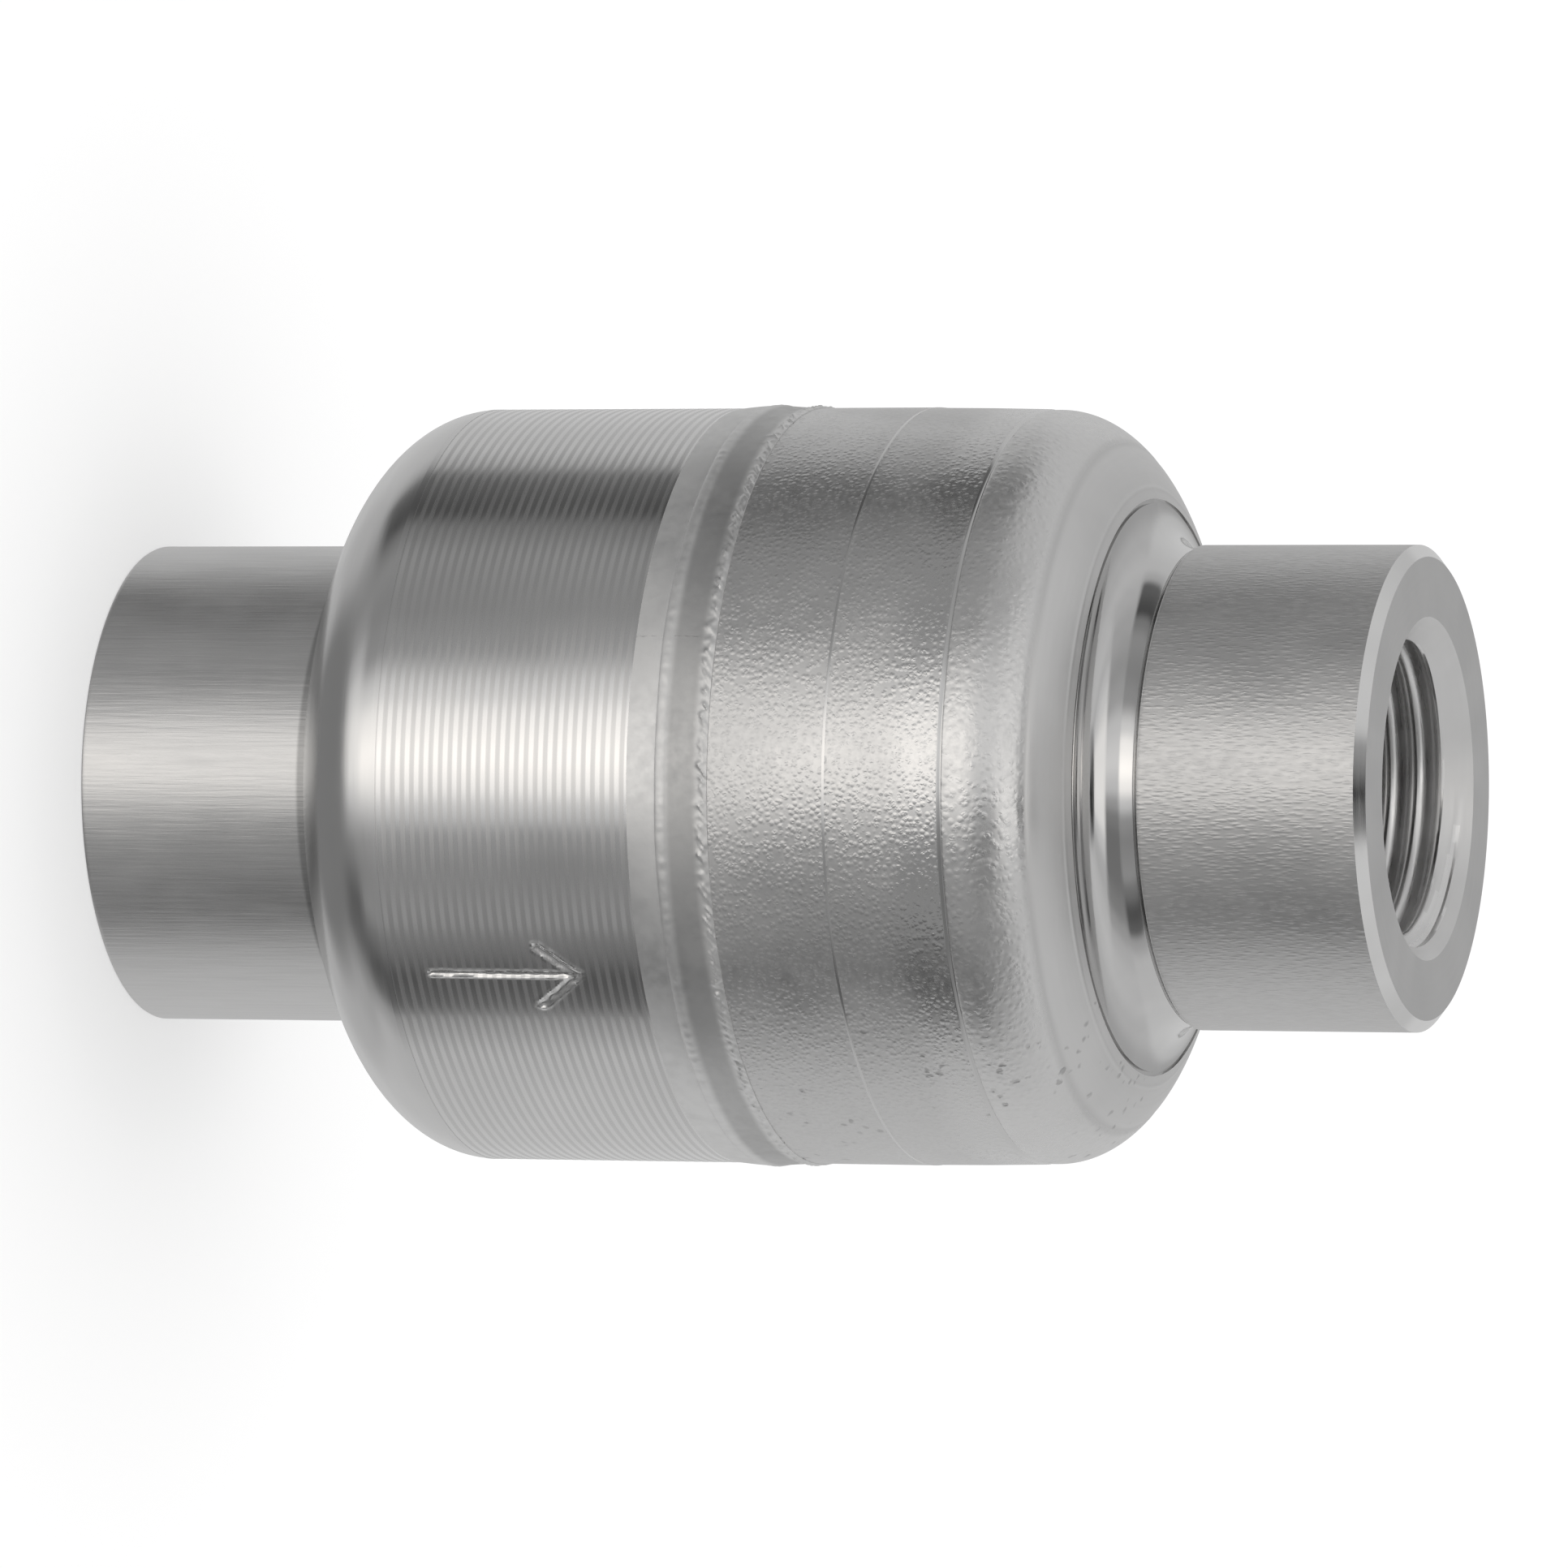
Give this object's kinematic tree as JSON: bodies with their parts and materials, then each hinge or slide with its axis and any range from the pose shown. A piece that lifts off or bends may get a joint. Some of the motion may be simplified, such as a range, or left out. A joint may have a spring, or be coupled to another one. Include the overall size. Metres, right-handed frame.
{
  "type": "non-return valve",
  "caption": "Small in-line stainless steel non-return valve with a welded round barrel, female pipe threads at both ends and a spring-loaded guided disc.",
  "frame": {"origin": "centre of the inlet end face, on the flow axis", "axes": "+Z along the flow axis, from the inlet to the outlet; the valve stands on its inlet end; -Y faces the viewer, with the engraved side towards -Y and +X"},
  "size_m": [0.0506, 0.0506, 0.088],
  "materials": {
    "turned_steel": "satin, turned, with fine rings",
    "blasted_steel": "blasted, with a smooth machined neck",
    "weld_metal": "dull, smooth weld bead",
    "machined_steel": "machined",
    "spring_wire": "drawn wire, bright",
    "seal_rubber": "matte",
    "bush_plastic": "smooth, waxy"
  },
  "bodies": {
    "housing": {"inlet_body": "turned_steel", "outlet_body": "blasted_steel", "weld_bead": "weld_metal", "seat_ring": "machined_steel", "seat_o_ring": "seal_rubber", "seat_snap_ring": "spring_wire", "inlet_guide": "machined_steel", "inlet_guide_bush": "bush_plastic", "outlet_guide": "machined_steel", "outlet_guide_bush": "bush_plastic", "outlet_guide_snap_ring": "spring_wire", "spring_washer": "machined_steel", "closing_spring": "spring_wire"},
    "closing_group": {"valve_disc": "machined_steel", "guide_stem": "machined_steel", "disc_seal": "seal_rubber", "seal_retainer": "machined_steel", "stem_lock_washer": "spring_wire", "stem_nut": "machined_steel"}
  },
  "joints": [
    {"name": "disc_lift", "type": "slide", "parent": "housing", "child": "closing_group", "axis": [0, 0, 1], "range_m": [0, 0.0045], "stiffness_N_per_m": 256, "springref_m": -0.0029, "deforming": ["closing_spring"]}
  ]
}
